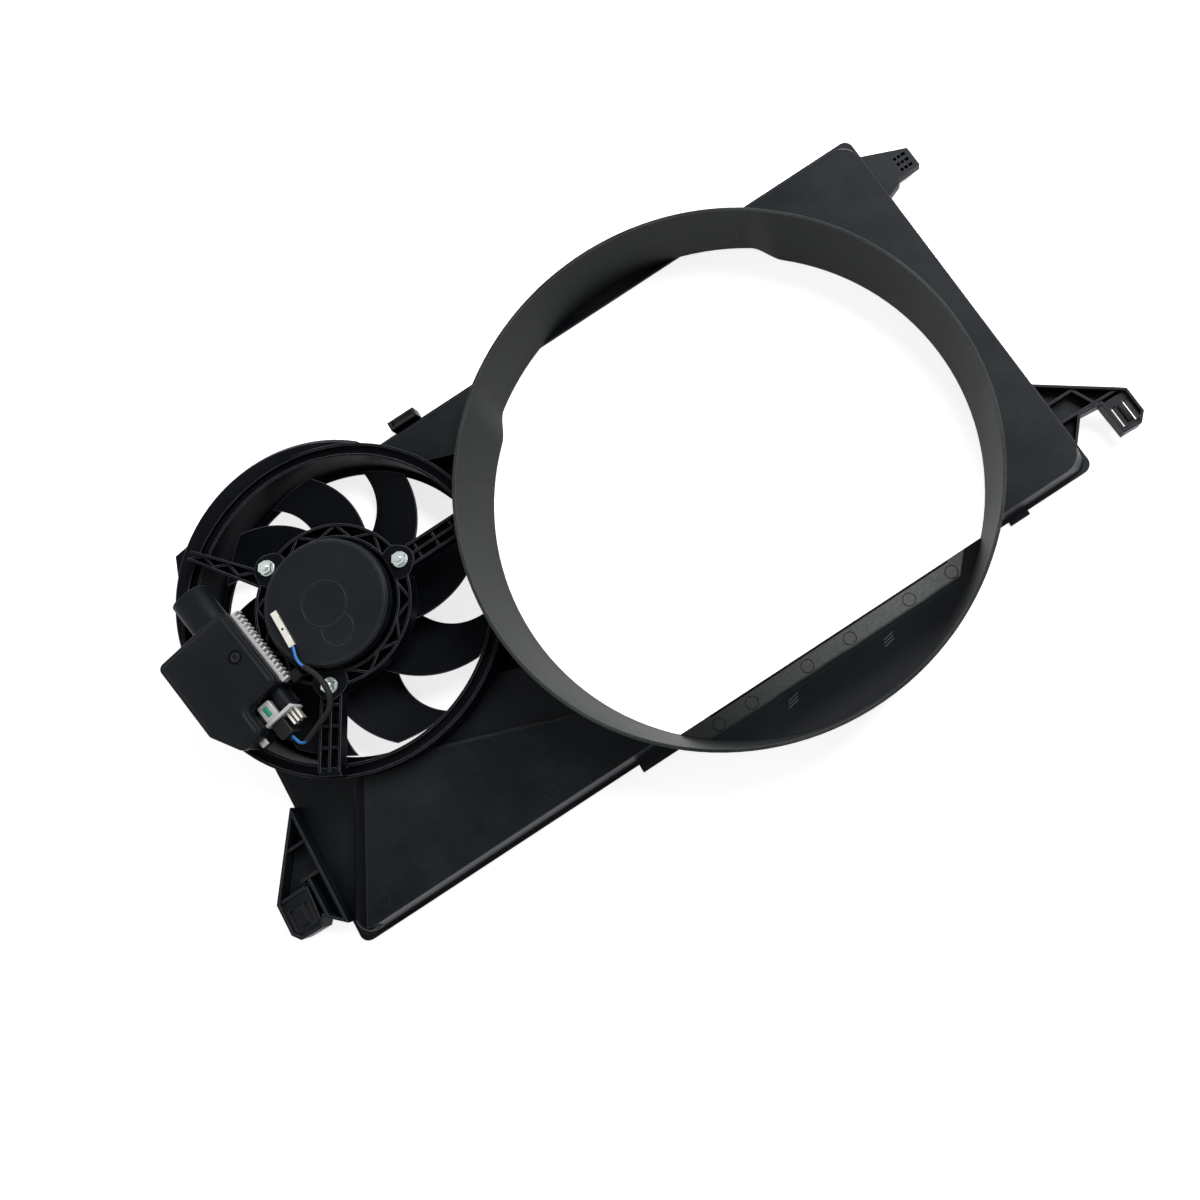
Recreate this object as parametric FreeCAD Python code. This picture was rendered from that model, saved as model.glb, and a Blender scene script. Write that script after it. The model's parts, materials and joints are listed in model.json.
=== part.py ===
import FreeCAD
import Part
import math
import os

V = FreeCAD.Vector
UP = V(0, 0, 1)

# Cowl tray, rear plane at z = 0 on the radiator, middle of its length at x = 0
cowl_length = 778.0
top_edge = 197.0
bottom_edge = -200.0
cowl_depth = 32.0
wall = 2.6
foot_radius = 9.0
head_radius = 22.0
lip_thick = 3.0
lip_out = 3.0
lip_in = 0.6
lean_bottom = 3.0
lean_top = 13.0
lean_side = 6.0
low_floor = 6.0
mid_floor = 26.0
edge_tabs = ((-97.0, -60.0, -208.0), (298.0, 318.0, -204.0))

# Lower floors of the tray: the step, the recess beside the small fan and the crease under it
step_foot = (-372.0, -202.0)
step_head = (-302.0, -68.0)
recess_foot = (-180.0, -56.0)
recess_corner = (-60.0, -101.0)
recess_top = (-60.0, 121.0)
recess_head = (-200.0, 176.0)
crease_corner = (-60.0, -155.0)

# Large ring for the engine-driven fan, with a stretch that stands further out on the radiator's side
ring_x = 108.8
ring_y = -34.7
ring_height = 84.0
ring_rear_radius = 228.4
ring_mouth_radius = 236.0
ring_wall = 3.0
bulge_start = 49.5
bulge_end = 130.5
bulge_bend = 4.0
bulge_rear = 10.0
bulge_mouth = 1.0

# Scoop that closes the ring below the tray
ledge_edge = -198.0
ledge_width = 22.0
scoop_rise = 66.0
scoop_sag = 12.0
scoop_wall = 3.4
ledge_skirt = 2.6

# Small fan
fan_x = -246.0
fan_y = 62.0
barrel_radius = 140.0
barrel_height = 50.0
barrel_wall = 2.5
rim_width = 12.5
rim_depth = 6.0
rear_lip = 6.0
rear_lip_thick = 2.5
fairing_radius = 141.0
fairing_shift = (-10.9, 27.1)
fairing_start = 57.0
fairing_end = 172.0
fairing_flare = 2.5
fairing_round = (3.5, 1.2)
corner_start = 112.0
corner_end = 154.0
corner_middle = 131.0
corner_reach = 23.5
tip_radius = 133.0
hub_radius = 58.0
hub_wall = 3.0
hub_round = 8.0
hub_bottom = 14.0
hub_top = 43.0

# Blades, unevenly spaced, each lofted through flat sections from inside the hub's wall to past the tip
blade_angles = (37.7, 79.1, 115.2, 165.0, 220.6, 261.8, 307.6, 353.0)
blade_wall = 2.4
blade_sections = 6
blade_start = 45.0
blade_over = 4.0
blade_sweep = 23.4
blade_bow = -3.5
root_chord = 57.0
tip_chord = 50.0
blade_low = 15.7
blade_high = 41.0
tip_rise = 1.0
tip_drop = 9.0
camber = 2.0

# Motor carrier
carrier_bottom = 52.0
carrier_top = 66.0
carrier_floor = 2.5
carrier_radius = 73.0
carrier_bore = 60.0
rib_wall = 2.2
lug_radius = 72.0
lug_pad_radius = 12.5
lug_pad_base = 16.0
lug_angles = (0.0, 120.0, 240.0)
zigzag_count = 24
spoke_angles = (0.0, 240.0)
spoke_width = 20.0
spoke_top = 64.0
spoke_steps = 4
spoke_overlap = 4.0
cross_drop = 2.0
left_spoke_steps = 6
left_spoke_angle = 129.0
left_spoke_root = 16.0
left_spoke_tip = 9.0

# Motor
can_radius = 54.0
can_wall = 2.0
can_bottom = 44.0
can_top = 76.0
cap_radius = 57.0
cap_top = 81.0
relief_radius = 21.0
relief_width = 1.0
relief_depth = 0.6
relief_lobe_reach = 27.0
relief_lobe_angle = 270.0
relief_lobe_radius = 15.0
cap_skirt = 11.0
cap_wall = 3.0
cap_edge = 2.0
coil_margin = 3.0
coil_inner = 14.0
card_thick = 1.6
card_gap = 2.0
brush_height = 4.0
spring_length = 8.0
spring_width = 2.0
magnet_margin = 2.0
boss_radius = 9.0
boss_top = 33.0
impeller_nut_height = 4.0
ear_thick = 3.9
ear_width = 22.0
shaft_radius = 4.0
shaft_bottom = 9.0
shaft_top = 75.0
bush_radius = 9.0
bush_length = 7.0
rear_bush_length = 6.0
bush_seat_wall = 3.0
running_gap = 0.05
magnet_wall = 7.0
magnet_count = 4
magnet_arc = 70.0
air_gap = 1.0
core_bottom = 54.0
core_height = 10.0
core_slots = 10
slot_width = 5.0
slot_depth = 20.0
winding_rise = 3.0
commutator_radius = 11.0
commutator_bottom = 67.2
commutator_height = 3.8
brush_count = 4
brush_width = 5.0
brush_length = 10.0
seat_gap = 0.3
clear_gap = 0.8

# Fasteners
stud_radius = 3.0
stud_top = 74.0
nut_radius = 6.5
nut_height = 6.0
flange_radius = 7.2
flange_height = 1.4

# Control module, placed by its own frame and turned with it
module_x = -360.0
module_y = 55.0
module_turn = 10.0
module_bottom = barrel_height
module_seam = 76.0
module_top = 88.0
module_wall = 2.2
module_left = -34.0
module_right = 41.0
module_back = 45.0
module_notch_y = -40.0
module_corner = 4.0
tongue_left = -19.0
tongue_end = -66.0
notch_x = 5.0
lid_overhang = 1.0
lid_boss = (26.0, 2.0)
lid_grooves = ((6.4, 5.0, 1.0), (3.2, 2.4, 0.6))
board_rise = 12.0
board_thick = 1.6
board_posts = ((-24.0, 36.0), (32.0, 36.0), (32.0, -31.0))
post_radius = 3.0
sink_low = -39.0
sink_high = 41.0
sink_plate = 3.0
fin_count = 17
fin_thick = 2.0
fin_reach = 4.0
socket_length = 42.0
socket_width = 34.0
socket_height = 26.0
socket_wall = 2.4
socket_depth = 26.0
socket_x = 17.0
pin_count = 4
pin_pitch = 5.6
pin_length = 11.0
pin_thick = 1.0
tab_places = ((-17.0, 44.0), (-9.0, -71.0))
tab_width = 6.0
tab_length = 6.0
tab_thick = 3.0

# Plug of the motor lead, in the module's frame
tower_rise = 4.0
tower_thick = 4.0
plug_left = 8.0
plug_right = 34.0
plug_width = 12.5
plug_end = -59.0
plug_height = 17.0
plug_round = 1.5
flange_thick = 3.0
lock_gap = 0.2
lock_rise = 0.6
boot_end = -78.0
boot_round = 2.0
collar_radius = 7.0
collar_x = 28.0
contact_count = 3
contact_x = 24.0
contact_thick = 2.0
contact_height = 6.0

# Lead, by its points from the motor terminal to the plug's boot
lead_radius = 1.3
sleeve_radius = 2.6
terminal_head = (-289.0, 79.0)
terminal_foot = (-288.0, 43.0)
terminal_width = 5.5
terminal_thick = 3.0
terminal_hole = 1.2
lead_points = (
    (-288.0, 43.0, 82.5), (-290.5, 28.0, 84.6), (-279.0, 5.0, 82.0),
    (-282.0, -20.0, 78.0), (-327.0, -33.0, 67.0),
)
lead_share = 0.45

# Clip brackets, and the cable loop on the tray's top edge
bracket_floor = 14.0
bracket_top = 30.0
bracket_wall = 2.4
clip_slot_width = 5.0
clip_slot_length = 20.0
slot_margin = 5.0
arm_high = -110.0
arm_low = -181.0
arm_neck = 399.0
pad_left = 420.0
pad_right = 446.0
pad_low = -192.5
pad_length = 32.0
pad_nose = 8.0
right_slots = (427.0, 439.0)
left_arm_high = -62.0
left_arm_low = -178.0
left_pad_x = -434.0
left_pad_end = -407.0
left_pad_high = -130.0
left_pad_low = -169.0
left_rib_drops = (32.0, 62.0)
left_slots = (-427.0, -412.0)
comb_low = 124.5
comb_neck = 400.0
comb_end = 426.0
comb_floor = 6.0
comb_height = 10.0
comb_slots = 3
comb_pitch = 6.5
loop_start = -135.0
loop_length = 29.0
loop_reach = 9.0
loop_height = 14.0

half_length = cowl_length / 2
barrel_outer = barrel_radius + rim_width
sky = 200.0

parts = {}


def polar(x, y, radius, angle, z=0.0):
    """A point at an angle in degrees about a centre."""
    turn = math.radians(angle)
    return V(x + radius * math.cos(turn), y + radius * math.sin(turn), z)


def outline(points, z, radius=0.0):
    """A closed wire through plan points, with every corner rounded."""
    corners = []
    count = len(points)
    for i, point in enumerate(points):
        here = V(point[0], point[1], z)
        before = V(points[i - 1][0], points[i - 1][1], z)
        after = V(points[(i + 1) % count][0], points[(i + 1) % count][1], z)
        if radius <= 0:
            corners.append((here, here, here))
            continue
        to_before = (before - here).normalize()
        to_after = (after - here).normalize()
        half = to_before.getAngle(to_after) / 2
        back = radius / math.tan(half)
        middle = (to_before + to_after).normalize()
        centre = here + middle * (radius / math.sin(half))
        corners.append((here + to_before * back, centre - middle * radius, here + to_after * back))
    edges = []
    for i, corner in enumerate(corners):
        if radius > 0:
            edges.append(Part.Arc(*corner).toShape())
        following = corners[(i + 1) % count]
        if corner[2].distanceToPoint(following[0]) > 1e-6:
            edges.append(Part.LineSegment(corner[2], following[0]).toShape())
    return Part.Wire(edges)


def slab(points, bottom, top, radius=0.0):
    """A flat piece with a plan outline."""
    return Part.Face(outline(points, bottom, radius)).extrude(UP * (top - bottom))


def rectangle(x0, x1, y0, y1):
    return [(x0, y0), (x1, y0), (x1, y1), (x0, y1)]


def disc(x, y, radius, bottom, top):
    return Part.makeCylinder(radius, top - bottom, V(x, y, bottom))


def tube(x, y, outer, inner, bottom, top):
    return disc(x, y, outer, bottom, top).cut(disc(x, y, inner, bottom - 1, top + 1))


def bar(start, end, width, bottom, top):
    """A straight rib between two plan points."""
    a = V(start[0], start[1], 0)
    b = V(end[0], end[1], 0)
    side = (b - a).normalize().cross(UP) * (width / 2)
    points = [(p.x, p.y) for p in (a + side, b + side, b - side, a - side)]
    return slab(points, bottom, top)


def turned(x, y, profile, sweep=360.0, start=0.0):
    """A closed radius and height profile turned about an upright axis."""
    points = [V(x + r, y, z) for r, z in profile]
    face = Part.Face(Part.makePolygon(points + points[:1]))
    solid = face.revolve(V(x, y, 0), UP, sweep)
    return solid.rotate(V(x, y, 0), UP, start)


def joined(shapes):
    """One solid of pieces that are moulded together."""
    return shapes[0].multiFuse(shapes[1:]).removeSplitter()


def piece_near(shape, x, y):
    """The one solid whose centre of mass lies nearest to a plan point."""
    def away(solid):
        centre = solid.CenterOfMass
        return math.hypot(centre.x - x, centre.y - y)
    return min(shape.Solids, key=away)


def cut_zone(points, level, grow):
    """The space above a lower floor of the tray."""
    face = Part.Face(outline(points, level - grow))
    if grow > 0:
        face = face.makeOffset2D(grow, 2)
    return face.extrude(UP * sky)


def low_zones():
    """Plan outlines of the tray's lower floors, each with its floor's height."""
    centre = (fan_x, fan_y)
    away = -cowl_length
    margin = [step_foot, step_head, centre, (fan_x, -away), (away, -away), (away, step_foot[1])]
    recess = [centre, recess_foot, recess_corner, (ring_x, ring_y), recess_top, recess_head]
    crease = [centre, step_head, crease_corner, recess_corner, recess_foot]
    return [(margin, low_floor), (recess, low_floor), (crease, mid_floor)]


def inset_plan(gap, extra_side=0.0, extra_bottom=0.0, extra_top=0.0):
    """The tray's plan, drawn in from its outer edges."""
    side = half_length - gap - extra_side
    return rectangle(-side, side, bottom_edge + gap + extra_bottom, top_edge - gap - extra_top)


def tray(shrink):
    """The tray's outer form, or its hollow when shrunk by the wall."""
    gap = lip_out + shrink
    foot = outline(inset_plan(gap), 0, foot_radius - shrink)
    top_plan = inset_plan(gap, lean_side, lean_bottom, lean_top)
    head = outline(top_plan, cowl_depth - shrink, head_radius - shrink)
    block = Part.makeLoft([foot, head], True, True)
    for points, level in low_zones():
        block = block.cut(cut_zone(points, level, shrink))
    return block


def ring_wire(offset, z):
    """The large ring's plan at one height: a main arc and a wider arc with a bend at each end."""
    share = z / ring_height
    radius = ring_rear_radius + (ring_mouth_radius - ring_rear_radius) * share + offset
    wide = radius + bulge_rear + (bulge_mouth - bulge_rear) * share
    a0, a1, bend = bulge_start, bulge_end, bulge_bend

    def at(angle, r):
        return polar(ring_x, ring_y, r, angle, z)

    def tangent(angle):
        return polar(0, 0, 1, angle + 90)

    def bend_edge(start, start_r, end, end_r):
        curve = Part.BSplineCurve()
        curve.interpolate([at(start, start_r), at(end, end_r)],
                          InitialTangent=tangent(start), FinalTangent=tangent(end))
        return curve.toShape()

    middle = (a0 + a1) / 2
    return Part.Wire([
        Part.Arc(at(a0 + bend, wide), at(middle, wide), at(a1 - bend, wide)).toShape(),
        bend_edge(a1 - bend, wide, a1 + bend, radius),
        Part.Arc(at(a1 + bend, radius), at(middle + 180, radius), at(360 + a0 - bend, radius)).toShape(),
        bend_edge(a0 - bend, radius, a0 + bend, wide),
    ])


def ring_form(offset, bottom, top):
    return Part.makeLoft([ring_wire(offset, bottom), ring_wire(offset, top)], True, True)


def scoop_profile(drop):
    """The ledge and the rising floor seen from the side, lowered by drop."""
    ledge_end = ledge_edge - ledge_width
    tip_y = ring_y - ring_mouth_radius - ring_wall
    a = V(0, ledge_edge, low_floor - drop)
    b = V(0, ledge_end, low_floor - drop)
    middle = V(0, (ledge_end + tip_y) / 2, low_floor + scoop_rise / 2 - scoop_sag - drop)
    c = V(0, tip_y, low_floor + scoop_rise - drop)
    return a, b, middle, c


def scoop_slice(drop_a, drop_b):
    """A plate between the scoop's profile at two drops, as long as the cowl."""
    a, b, middle, c = scoop_profile(drop_a)
    d, e, lower_middle, f = scoop_profile(drop_b)
    face = Part.Face(Part.Wire([
        Part.LineSegment(a, b).toShape(), Part.Arc(b, middle, c).toShape(), Part.LineSegment(c, f).toShape(),
        Part.Arc(f, lower_middle, e).toShape(), Part.LineSegment(e, d).toShape(), Part.LineSegment(d, a).toShape(),
    ]))
    solid = face.extrude(V(cowl_length, 0, 0))
    solid.translate(V(-half_length, 0, 0))
    return solid


def cowl():
    """Tray, large ring and lower scoop."""
    inset = lip_out + wall + lip_in
    lip = slab(inset_plan(0), 0, lip_thick, foot_radius)
    lip = lip.cut(slab(inset_plan(inset), -1, lip_thick + 1, foot_radius - inset / 2))
    tabs = [slab(rectangle(x0, x1, y, bottom_edge + inset / 2), 0, lip_thick) for x0, x1, y in edge_tabs]
    panel = tray(0).cut(tray(wall)).fuse([lip] + tabs)
    beyond_lip = slab(rectangle(-half_length, half_length, top_edge - inset, sky * 2), -1, lip_thick)
    panel = panel.cut(ring_form(ring_wall, -1, ring_height).cut(beyond_lip))
    panel = panel.fuse(ring_form(ring_wall, 0, lip_thick).common(beyond_lip))
    panel = panel.cut(disc(fan_x, fan_y, barrel_outer, low_floor, sky))
    panel = panel.cut(disc(fan_x, fan_y, barrel_outer - barrel_wall - 1, -1, sky))
    panel = panel.cut(fairing_form(low_floor, 0)).removeSplitter()
    parts["right_panel"] = piece_near(panel, half_length, 0)
    parts["left_panel"] = piece_near(panel, -half_length / 2, bottom_edge)
    parts["fan_barrel"] = piece_near(panel, -half_length, top_edge)

    ring = ring_form(ring_wall, lip_thick, ring_height).cut(ring_form(0, lip_thick - 1, ring_height + 1))
    under = scoop_slice(scoop_wall, sky)
    parts["large_fan_ring"] = ring.cut(under)

    edge = slab(rectangle(-half_length, half_length, ledge_edge - ledge_skirt, ledge_edge), 0, low_floor)
    scoop = scoop_slice(0, scoop_wall).fuse(edge)
    parts["lower_scoop"] = scoop.common(ring_form(0, 0, ring_height))


def fairing_form(bottom, shrink):
    """The convex fairing beside the rim, as a full form, or its hollow when shrunk by the wall."""
    x = fan_x + fairing_shift[0]
    y = fan_y + fairing_shift[1]
    edge = fairing_radius - shrink
    shelf = barrel_height - rim_depth
    form = turned(x, y, [
        (0, bottom), (edge + fairing_flare, bottom), (edge, shelf - shrink),
        (edge - fairing_round[0], barrel_height - fairing_round[1] - shrink),
        (edge - rim_width, barrel_height - shrink), (0, barrel_height - shrink),
    ])
    reach = cowl_length
    start = polar(fan_x, fan_y, reach, fairing_start)
    end = polar(fan_x, fan_y, reach, fairing_end)
    wedge = slab([(fan_x, fan_y), (start.x, start.y), (end.x, start.y), (end.x, end.y)], bottom - 1, sky)
    return form.common(wedge)


def barrel():
    """The small fan's rim: inner wall, grooved top and outer wall, with a wider fairing at the top."""
    inner = barrel_radius + barrel_wall
    outer = barrel_outer
    shelf = barrel_height - rim_depth
    profile = [
        (barrel_radius - rear_lip, lip_thick), (barrel_radius - rear_lip, lip_thick + rear_lip_thick),
        (barrel_radius, lip_thick + rear_lip_thick), (barrel_radius, barrel_height), (inner, barrel_height),
        (inner, shelf), (outer - barrel_wall, shelf), (outer - barrel_wall, barrel_height), (outer, barrel_height),
        (outer, low_floor), (outer - barrel_wall, low_floor), (outer - barrel_wall, shelf - barrel_wall),
        (inner, shelf - barrel_wall), (inner, lip_thick),
    ]
    rim = turned(fan_x, fan_y, profile)
    fairing = fairing_form(low_floor, 0).cut(fairing_form(low_floor - 1, barrel_wall))
    foot_plan = [
        polar(fan_x, fan_y, outer, corner_start), V(lip_out - half_length, top_edge - 1, 0),
        polar(fan_x, fan_y, outer, corner_end),
    ]
    head_plan = [
        polar(fan_x, fan_y, outer, corner_start), polar(fan_x, fan_y, outer + corner_reach, corner_middle),
        polar(fan_x, fan_y, outer, corner_end),
    ]
    foot = Part.makeLoft([
        Part.makePolygon([V(p.x, p.y, low_floor) for p in foot_plan + foot_plan[:1]]),
        Part.makePolygon([V(p.x, p.y, shelf) for p in head_plan + head_plan[:1]]),
    ], True, True)
    outside = disc(fan_x, fan_y, outer - barrel_wall, -1, sky)
    whole = joined([rim, fairing.cut(outside), foot.cut(outside), parts["fan_barrel"]])
    parts["fan_barrel"] = whole.cut(ring_form(ring_wall, 0, ring_height))


def spoke(angle):
    """A ladder of upright ribs on a thin floor, from the hub ring to the barrel's rim."""
    root = carrier_radius - 1
    foot_inner = barrel_radius + barrel_wall
    tip = foot_inner + spoke_overlap
    half = spoke_width / 2
    pieces = [slab(rectangle(root, tip, -half, half), carrier_bottom, carrier_bottom + carrier_floor)]
    for side in (-1, 0, 1):
        y = side * (spoke_width - rib_wall) / 2
        pieces.append(bar((root, y), (tip, y), rib_wall, carrier_bottom, spoke_top))
    for i in range(1, spoke_steps + 1):
        x = root + (tip - root) * i / spoke_steps - rib_wall
        pieces.append(bar((x, -half), (x, half), rib_wall, carrier_bottom, spoke_top - cross_drop))
    foot = rectangle(foot_inner, barrel_outer - barrel_wall, -half, half)
    pieces.append(slab(foot, barrel_height - rim_depth, spoke_top - cross_drop))
    solid = joined(pieces)
    solid.translate(V(fan_x, fan_y, 0))
    return solid.rotate(V(fan_x, fan_y, 0), UP, angle)


def left_spoke():
    """The narrow spoke that tapers towards the tray's corner."""
    root = carrier_radius - 1
    tip = barrel_outer - barrel_wall
    root_half = left_spoke_root / 2
    tip_half = left_spoke_tip / 2
    plan = [(root, -root_half), (tip, -tip_half), (tip, tip_half), (root, root_half)]
    plate = slab(plan, carrier_bottom, carrier_bottom + carrier_floor)
    pieces = [plate]
    for side in (-1, 1):
        start = (root, side * (left_spoke_root - rib_wall) / 2)
        end = (tip, side * (left_spoke_tip - rib_wall) / 2)
        pieces.append(bar(start, end, rib_wall, carrier_bottom, spoke_top))
    half = (left_spoke_tip - rib_wall) / 2
    for i in range(left_spoke_steps):
        x0 = root + (tip - root) * i / left_spoke_steps
        x1 = root + (tip - root) * (i + 1) / left_spoke_steps
        flip = 1 if i % 2 else -1
        pieces.append(bar((x0, -flip * half), (x1, flip * half), rib_wall, carrier_bottom, spoke_top - cross_drop))
    foot = rectangle(barrel_radius + barrel_wall, tip, -tip_half, tip_half)
    pieces.append(slab(foot, barrel_height - rim_depth, carrier_bottom + 1))
    solid = joined(pieces)
    solid.translate(V(fan_x, fan_y, 0))
    return solid.rotate(V(fan_x, fan_y, 0), UP, left_spoke_angle)


def carrier():
    """Hub ring with zigzag ribs, three lugs and the spokes."""
    floor = carrier_bottom + carrier_floor
    pieces = [
        tube(fan_x, fan_y, carrier_radius, carrier_bore, carrier_bottom, floor),
        tube(fan_x, fan_y, carrier_radius, carrier_radius - rib_wall, carrier_bottom, carrier_top),
        tube(fan_x, fan_y, carrier_bore + rib_wall, carrier_bore, carrier_bottom, carrier_top),
    ]
    for i in range(zigzag_count):
        angle = i * 360 / zigzag_count
        inner = carrier_bore + 1
        outer = carrier_radius - 1
        first, last = (inner, outer) if i % 2 else (outer, inner)
        a = polar(fan_x, fan_y, first, angle)
        b = polar(fan_x, fan_y, last, angle + 360 / zigzag_count)
        pieces.append(bar((a.x, a.y), (b.x, b.y), rib_wall, carrier_bottom, carrier_top - 1))
    base = lug_radius - lug_pad_base
    tip = lug_radius + lug_pad_radius * math.sqrt(2)
    for angle in lug_angles:
        plan = [(base, base - tip), (tip, 0), (base, tip - base)]
        pad = slab(plan, carrier_bottom, carrier_top, lug_pad_radius)
        pad.translate(V(fan_x, fan_y, 0))
        pieces.append(pad.rotate(V(fan_x, fan_y, 0), UP, angle))
    whole = joined(pieces + [spoke(angle) for angle in spoke_angles] + [left_spoke()])
    whole = whole.cut(disc(fan_x, fan_y, carrier_bore, 0, sky))
    for angle in lug_angles:
        centre = polar(fan_x, fan_y, lug_radius, angle)
        whole = whole.cut(disc(centre.x, centre.y, stud_radius, 0, sky))
    for inner in (barrel_radius, barrel_outer - barrel_wall):
        whole = whole.cut(tube(fan_x, fan_y, inner + barrel_wall, inner, 0, barrel_height))
    parts["motor_carrier"] = whole.cut(ring_form(ring_wall, 0, ring_height))


def blade():
    """One sickle blade: flat sections across the radius, swept forwards, narrower and flatter at the tip."""
    sections = []
    reach = tip_radius + blade_over - blade_start
    for i in range(blade_sections):
        radius = blade_start + reach * i / (blade_sections - 1)
        share = (radius - hub_radius) / (tip_radius - hub_radius)
        angle = blade_sweep * (share - 0.5) + blade_bow * 4 * share * (1 - share)
        chord = root_chord + (tip_chord - root_chord) * share
        low = blade_low + tip_rise * share
        high = blade_high - tip_drop * share
        middle = (low + high) / 2 - camber
        out = polar(0, 0, 1, angle)
        along = polar(0, 0, 1, angle + 90)
        centre = V(fan_x, fan_y, 0) + out * radius
        lead_edge = centre + along * (chord / 2) + UP * low
        trail_edge = centre - along * (chord / 2) + UP * high
        under = [lead_edge, centre + UP * middle, trail_edge]
        over = [point + UP * blade_wall for point in under]
        sections.append(Part.Wire([
            Part.Arc(*under).toShape(), Part.LineSegment(under[2], over[2]).toShape(),
            Part.Arc(over[2], over[1], over[0]).toShape(), Part.LineSegment(over[0], under[0]).toShape(),
        ]))
    loft = Part.makeLoft(sections, True, False)
    swept = tube(fan_x, fan_y, tip_radius, hub_radius - hub_wall / 2, 0, hub_top + 20)
    return loft.common(swept)


def rotor():
    """Impeller, its nut and the shaft with the armature."""
    floor = hub_bottom + hub_wall
    hub = turned(fan_x, fan_y, [
        (shaft_radius, hub_bottom), (hub_radius - hub_round, hub_bottom), (hub_radius, hub_bottom + hub_round - 2),
        (hub_radius, hub_top),
        (hub_radius - hub_wall, hub_top), (hub_radius - hub_wall, floor), (boss_radius, floor),
        (boss_radius, boss_top), (shaft_radius, boss_top),
    ])
    blades = []
    one = blade()
    for angle in blade_angles:
        copy = one.copy()
        blades.append(copy.rotate(V(fan_x, fan_y, 0), UP, angle))
    parts["fan_impeller"] = hub.multiFuse(blades).Solids[0]
    nut = slab([(p.x, p.y) for p in (polar(fan_x, fan_y, nut_radius, a) for a in range(0, 360, 60))],
               hub_bottom - impeller_nut_height, hub_bottom)
    parts["impeller_nut"] = nut.cut(disc(fan_x, fan_y, shaft_radius, 0, hub_top))
    parts["motor_shaft"] = disc(fan_x, fan_y, shaft_radius, shaft_bottom, shaft_top)

    core_radius = can_radius - can_wall - magnet_wall - air_gap
    core_top = core_bottom + core_height
    core = tube(fan_x, fan_y, core_radius, shaft_radius, core_bottom, core_top)
    for i in range(core_slots):
        angle = i * 360 / core_slots
        a = polar(fan_x, fan_y, core_radius - slot_depth, angle)
        b = polar(fan_x, fan_y, core_radius + 1, angle)
        core = core.cut(bar((a.x, a.y), (b.x, b.y), slot_width, core_bottom - 1, core_top + 1))
    parts["armature_core"] = core
    coil_outer = core_radius - coil_margin
    lower = tube(fan_x, fan_y, coil_outer, coil_inner, core_bottom - winding_rise, core_bottom)
    upper = tube(fan_x, fan_y, coil_outer, coil_inner, core_top, core_top + winding_rise)
    parts["armature_windings"] = Part.makeCompound([lower, upper])
    parts["commutator"] = tube(fan_x, fan_y, commutator_radius, shaft_radius, commutator_bottom,
                               commutator_bottom + commutator_height)


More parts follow.
